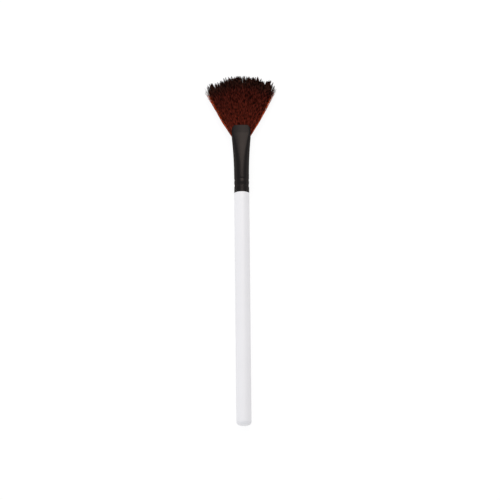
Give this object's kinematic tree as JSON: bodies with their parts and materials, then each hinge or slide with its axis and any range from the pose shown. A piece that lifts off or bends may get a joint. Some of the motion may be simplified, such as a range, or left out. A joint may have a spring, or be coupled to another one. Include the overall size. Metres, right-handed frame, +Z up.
{
  "type": "fan makeup brush",
  "caption": "Slim round-handled makeup brush with a crimped black ferrule pressed flat to hold a wide, thin fan of dark hair.",
  "frame": {"origin": "bottom of the bounding box, under the middle of the length: on the surface the brush lies on, below the handle's axis", "axes": "+Y along the handle's axis towards the hair, +Z up through the thin way of the fan, X across the fan"},
  "size_m": [0.0355, 0.18, 0.0075],
  "materials": {
    "lacquered_wood": "smooth white lacquer",
    "black_aluminium": "satin black anodised",
    "resin": "cast epoxy",
    "hair": "fine dark brown hair"
  },
  "bodies": {
    "root": {"handle": "lacquered_wood", "ferrule": "black_aluminium", "resin_plug": "resin", "bristles": "hair"}
  },
  "joints": []
}
